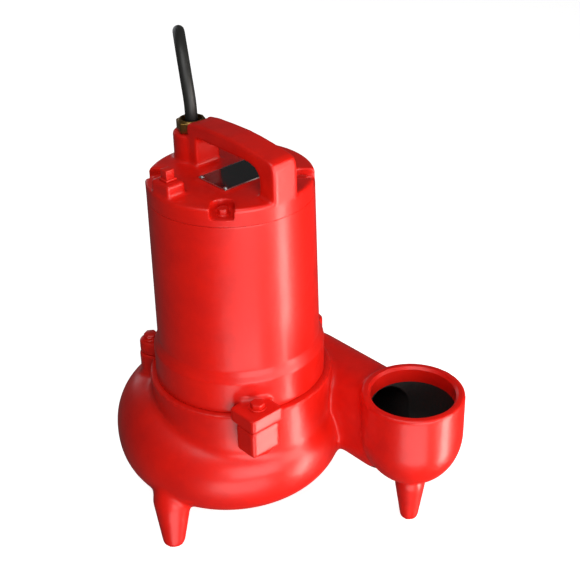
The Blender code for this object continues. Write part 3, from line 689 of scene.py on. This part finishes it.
# %% Motor cover
POCKETS = (-45.0, 45.0, 135.0, 225.0)
POCKET_R, POCKET_HALF = 69.5, 11.5
STRAP = [(-47.0, 386.0), (-47.0, 429.0), (-46.0, 431.5), (-43.0, 433.3), (-30.0, 435.2), (-8.0, 435.9),
         (16.0, 436.0), (33.0, 434.8), (48.0, 433.0), (74.0, 429.3), (79.5, 427.0), (82.0, 420.5),
         (82.3, 412.0), (82.3, 386.0), (60.0, 386.0), (61.0, 405.0), (59.5, 411.5), (55.0, 416.6),
         (46.0, 419.6), (-29.5, 420.5), (-32.0, 418.5), (-33.0, 386.0)]
bm = bmesh.new()
turned(bm, [(0.0, 390.4), (80.0, 390.4), (82.0, 389.4), (82.5, 387.6), (82.5, 371.0), (0.0, 371.0)], 160)
strap = raised(bm, STRAP, -15.0, 15.0, across="y")
long_edges = {e for v in strap for e in v.link_edges if abs(e.verts[0].co.y - e.verts[1].co.y) < 0.001}
bmesh.ops.bevel(bm, geom=list(long_edges), offset=2.4, segments=3, profile=0.5, affect="EDGES", material=-1,
                clamp_overlap=True)
turned(bm, [(0.0, 419.0), (18.3, 419.0), (19.5, 417.8), (19.8, 384.0), (0.0, 384.0)], 64, (GLAND_X, 0.0, 0.0))
boxed(bm, (-20.0, -79.5, 380.0), (7.0, -59.0, 403.0), 2.4, 3)
boxed(bm, (-12.5, -33.5, 380.0), (33.5, 33.5, 391.6), 2.5, 3, edges="upright")
cover = skin(on_bench(bm, "cover_work"), 1.2)
bm = bmesh.new()
for degrees in POCKETS:
    x, y = polar(POCKET_R, degrees)
    a = math.radians(degrees)
    outline = [(x + POCKET_HALF * math.cos(a + t), y + POCKET_HALF * math.sin(a + t))
               for t in (math.pi * (0.5 + k / 12) for k in range(13))]
    x, y = polar(95.0, degrees)
    outline += [(x + s * POCKET_HALF * math.sin(a), y - s * POCKET_HALF * math.cos(a)) for s in (1.0, -1.0)]
    raised(bm, outline, 380.0, 400.0)
cut(cover, bm)
skin(cover, 1.2)
relax(cover, 2, 6, [(0.0, 0.0, [372.0, 387.0], [82.5, 82.5], 0.6)])
bm = bmesh.new()
turned(bm, [(0.0, 372.6), (120.0, 372.6), (120.0, 360.0), (0.0, 360.0)], 96)
cut(cover, bm)
bm = bmesh.new()
turned(bm, [(0.0, 445.0), (17.6, 445.0), (17.6, 419.15), (12.6, 419.15), (12.6, 402.0), (8.0, 402.0),
            (8.0, 366.0), (0.0, 366.0)], 64, (GLAND_X, 0.0, 0.0))
turned(bm, [(0.0, 408.0), (4.6, 408.0), (4.6, 366.0), (0.0, 366.0)], 24, (-6.5, -69.0, 0.0))
cut(cover, bm)
deliver(cover, "motor_lid", red_enamel, "pump_body", "red_enamel", "motor_cover")

# %% [markdown]
# ## Screws and plugs
#
# The pump is sprayed after it is put together, so the screw heads are red too.
# A six-sided head is a circle of six points, raised and bevelled; its washer face
# and shank are turned. The oil filler is closed by a square-headed pipe plug.

# %% Screws
def hex_screw(bm, x, y, flats, turn, under, top, shank_r, shank_low, washer_r):
    """A screw: a bevelled six-sided head on a round washer face, and a shank below it."""
    old = set(bm.verts)
    ring = bmesh.ops.create_circle(bm, cap_ends=True, segments=6, radius=flats / math.sqrt(3.0))["verts"]
    bmesh.ops.rotate(bm, verts=ring, cent=(0.0, 0.0, 0.0), matrix=Matrix.Rotation(math.radians(turn), 3, "Z"))
    bmesh.ops.translate(bm, verts=ring, vec=(x, y, under))
    face = ring[0].link_faces[0]
    lifted = bmesh.ops.extrude_face_region(bm, geom=[face])
    bmesh.ops.translate(bm, verts=[g for g in lifted["geom"] if isinstance(g, bmesh.types.BMVert)],
                        vec=(0.0, 0.0, top - under))
    head = [v for v in bm.verts if v not in old]
    bmesh.ops.recalc_face_normals(bm, faces=list({f for v in head for f in v.link_faces}))
    edges = list({e for v in head for e in v.link_edges})
    bmesh.ops.bevel(bm, geom=edges, offset=0.06 * flats, segments=3, profile=0.5, affect="EDGES", material=-1,
                    clamp_overlap=True)
    turned(bm, [(0.0, under + 0.9), (washer_r - 0.4, under + 0.9), (washer_r, under + 0.5),
                (washer_r, under - 0.3), (shank_r, under - 0.3), (shank_r, shank_low + 1.0),
                (shank_r - 0.8, shank_low), (0.0, shank_low)], 32, (x, y, 0.0))


for n, degrees in enumerate(LUG_ANGLES):
    bm = bmesh.new()
    hex_screw(bm, *polar(LUG_R, degrees), 13.0, 10.0 + 37.0 * n, 183.5, 189.4, 3.3, 146.0, 9.0)
    deliver(on_bench(bm, "screw"), f"flange_screw_{n + 1}", red_enamel, "pump_body", "red_enamel",
            f"volute_bolt_{n + 1}")
for n, degrees in enumerate(POCKETS):
    bm = bmesh.new()
    hex_screw(bm, *polar(POCKET_R, degrees), 10.0, 20.0 + 23.0 * n, 380.4, 386.4, 2.7, 358.0, 6.4)
    deliver(on_bench(bm, "screw"), f"cover_screw_{n + 1}", red_enamel, "pump_body", "red_enamel",
            f"cover_bolt_{n + 1}")

# %% Oil filler plug
bm = bmesh.new()
boxed(bm, (-6.2, -6.2, 403.1), (6.2, 6.2, 405.5), 0.7, 3)
boxed(bm, (-4.8, -4.8, 404.5), (4.8, 4.8, 414.4), 0.9, 3)
turned(bm, [(0.0, 404.5), (4.3, 404.5), (4.3, 392.0), (0.0, 392.0)], 24)
bmesh.ops.translate(bm, verts=bm.verts, vec=(-6.5, -69.0, 0.0))
deliver(on_bench(bm, "plug"), "filler_plug", red_enamel, "pump_body", "red_enamel", "oil_plug")

# %% [markdown]
# ## The plate
#
# The rating plate is thin aluminium with a black-filled face and a bare edge. It
# is left blank. An inset on the top face gives the bare rim, and four drive pins
# hold it down.

# %% Plate and pins
bm = bmesh.new()
boxed(bm, (-10.5, -31.5, 391.8), (31.5, 31.5, 392.7), 1.6, 4, edges="upright")
top = max(bm.faces, key=lambda f: f.calc_center_median().z)
bmesh.ops.inset_region(bm, faces=[top], thickness=0.9, depth=0.0, use_even_offset=True)
top = max(bm.faces, key=lambda f: (round(f.calc_center_median().z, 3), f.calc_area()))
top.material_index = 1
plate = on_bench(bm, "plate")
plate.data.materials.append(FINISHES["brushed_aluminium"])
plate.data.materials.append(FINISHES["black_filled_aluminium"])
deliver(plate, "rating_plate", FINISHES["brushed_aluminium"], "pump_body", "black_plate", "nameplate")
for n, (x, y) in enumerate(((-7.5, -28.5), (28.5, -28.5), (28.5, 28.5), (-7.5, 28.5))):
    bm = bmesh.new()
    turned(bm, [(0.0, 394.3), (0.9, 394.2), (1.8, 393.8), (2.3, 393.2), (2.4, 392.8), (1.2, 392.8),
                (1.2, 387.0), (0.0, 387.0)], 24, (x, y, 0.0))
    deliver(on_bench(bm, "pin"), f"drive_pin_{n + 1}", FINISHES["zinc_plated_steel"], "pump_body", "steel",
            f"plate_pin_{n + 1}")

# %% [markdown]
# ## The cord gland
#
# A brass gland nut squeezes a rubber ring round the cord. It is six-sided with a
# turned mouth. The hexagon is bevelled first, and the mouth is bored into it.

# %% Gland nut and its rubber ring
bm = bmesh.new()
ring = bmesh.ops.create_circle(bm, cap_ends=True, segments=6, radius=28.0 / math.sqrt(3.0))["verts"]
bmesh.ops.rotate(bm, verts=ring, cent=(0.0, 0.0, 0.0), matrix=Matrix.Rotation(math.radians(8.0), 3, "Z"))
lifted = bmesh.ops.extrude_face_region(bm, geom=[ring[0].link_faces[0]])
bmesh.ops.translate(bm, verts=[g for g in lifted["geom"] if isinstance(g, bmesh.types.BMVert)],
                    vec=(0.0, 0.0, 10.6))
bmesh.ops.translate(bm, verts=bm.verts, vec=(0.0, 0.0, 419.4))
bmesh.ops.recalc_face_normals(bm, faces=bm.faces)
bmesh.ops.bevel(bm, geom=list(bm.edges), offset=1.1, segments=3, profile=0.5, affect="EDGES", material=-1,
                clamp_overlap=True)
bmesh.ops.translate(bm, verts=bm.verts, vec=(GLAND_X, 0.0, 0.0))
gland = on_bench(bm, "gland")
bm = bmesh.new()
turned(bm, [(0.0, 440.0), (12.0, 440.0), (12.0, 429.2), (10.4, 427.6), (10.4, 423.0), (7.1, 423.0),
            (7.1, 415.0), (0.0, 415.0)], 64, (GLAND_X, 0.0, 0.0))
cut(gland, bm)
bm = bmesh.new()
bm.from_mesh(gland.data)
turned(bm, [(7.1, 421.0), (12.0, 421.0), (12.0, 410.4), (11.4, 410.0), (7.1, 410.0)], 64, (GLAND_X, 0.0, 0.0),
       closed=True)
turned(bm, [(10.6, 431.4), (11.6, 431.6), (12.6, 431.2), (13.3, 430.2), (13.3, 429.0), (10.4, 428.2)], 64,
       (GLAND_X, 0.0, 0.0), closed=True)
bm.to_mesh(gland.data)
bm.free()
deliver(gland, "gland_hexagon", FINISHES["tarnished_turned_brass"], "pump_body", "brass", "gland_nut",
        crease=30.0)
bm = bmesh.new()
turned(bm, [(6.25, 424.6), (8.6, 425.2), (10.3, 424.4), (10.3, 422.0), (6.25, 422.0)], 48,
       (GLAND_X, 0.0, 0.0), closed=True)
deliver(on_bench(bm, "ring"), "gland_rubber_ring", FINISHES["moulded_black_rubber"], "pump_body",
        "black_rubber")

# %% [markdown]
# ## Plug and tie
#
# The cord ends in a moulded plug with two flat blades and a round earth pin. Its
# strain relief is ribbed. A white nylon tie holds the coil.

# %% Plug
bm = bmesh.new()
relief = [(6.4, 0.0), (7.4, 0.6)]
for k in range(5):
    z = 2.0 + 3.6 * k
    r = 7.4 + 0.45 * k
    relief += [(r, z), (r, z + 2.0), (r - 1.0, z + 2.4), (r - 1.0, z + 3.2)]
body = relief + [(9.8, 20.4), (13.2, 24.0), (14.7, 28.0), (15.0, 31.0), (15.0, 34.0), (14.5, 34.5),
                 (14.5, 36.0), (15.0, 36.5), (15.0, 39.0), (14.5, 39.5), (14.5, 41.0), (15.0, 41.5),
                 (15.0, 50.4), (14.2, 51.8), (13.0, 52.0), (0.0, 52.0)]
turned(bm, [(0.0, 0.0)] + body, 64)
plug_at = Matrix.Translation((COIL.x - 22.0, COIL.y + PLUG_R, PLUG_Z))
plug_turn = plug_at @ Matrix.Rotation(math.radians(-90.0), 4, "Y")
bmesh.ops.transform(bm, matrix=plug_turn, verts=bm.verts)
plug = deliver(on_bench(bm, "plug"), "plug_body", FINISHES["moulded_black_rubber"], "pump_body",
               "black_rubber", "cord_plug")
bm = bmesh.new()
for y in (6.4, -6.4):
    boxed(bm, (0.8, y - 0.8, 48.0), (7.2, y + 0.8, 69.0), 0.35, 2)
turned(bm, [(0.0, 71.0), (1.2, 70.6), (2.1, 69.4), (2.4, 67.6), (2.4, 48.0), (0.0, 48.0)], 32,
       (-7.0, 0.0, 0.0))
bmesh.ops.transform(bm, matrix=plug_turn, verts=bm.verts)
pins = deliver(on_bench(bm, "pins"), "plug_pins", FINISHES["zinc_plated_steel"], "pump_body", "steel")

# %% Tie
bm = bmesh.new()
TIE_TOP = 55.0
boxed(bm, (43.2, -2.5, 0.2), (98.3, 2.5, TIE_TOP), 0.5, 2)
tie = on_bench(bm, "tie")
bm = bmesh.new()
boxed(bm, (44.7, -5.0, 1.6), (96.8, 5.0, TIE_TOP - 1.4), 3.0, 4)
cut(tie, bm)
tie.data.transform(Matrix.Translation(COIL) @ Matrix.Rotation(math.radians(300.0), 4, "Z"))
tie = deliver(tie, "nylon_tie", FINISHES["white_nylon"], "pump_body", "nylon", "cord_tie")

# %% [markdown]
# ## Everything inside
#
# The CAD meshes of the works are right as they are: rings, discs and cores seen
# only through the inlet or in section. Each one gets the finish of its real stuff.

# %% Finishes for the rest
WORKS = {
    "oiled_machined_iron": ("seal_plate",),
    "cast_bronze_impeller": ("impeller",),
    "ground_steel": ("shaft", "upper_bearing_inner_ring", "upper_bearing_outer_ring",
                     "upper_bearing_ball_cage", "lower_bearing_inner_ring",
                     "lower_bearing_outer_ring", "lower_bearing_ball_cage"),
    "zinc_plated_steel": ("impeller_nut", "bearing_spring", "seal_spring"),
    "blued_core_laminations": ("rotor_core", "stator_core"),
    "varnished_copper_winding": ("upper_end_winding", "lower_end_winding"),
    "glazed_seal_ceramic": ("seal_seat",),
    "pressed_seal_carbon": ("seal_face",),
    "white_nylon": ("thermal_protector",),
    "pressed_gasket_fibre": ("housing_gasket", "cover_gasket"),
    "moulded_black_rubber": ("cord_grommet",),
}
power_cord.data.materials.append(FINISHES["moulded_black_rubber"])
for name, nodes in WORKS.items():
    for node in nodes:
        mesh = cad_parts[node].data
        mesh.materials.clear()
        mesh.materials.append(FINISHES[name])
left = [n for n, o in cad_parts.items() if not o.hide_render and n not in sum(WORKS.values(), ())]
print("nodes without a finish", left)
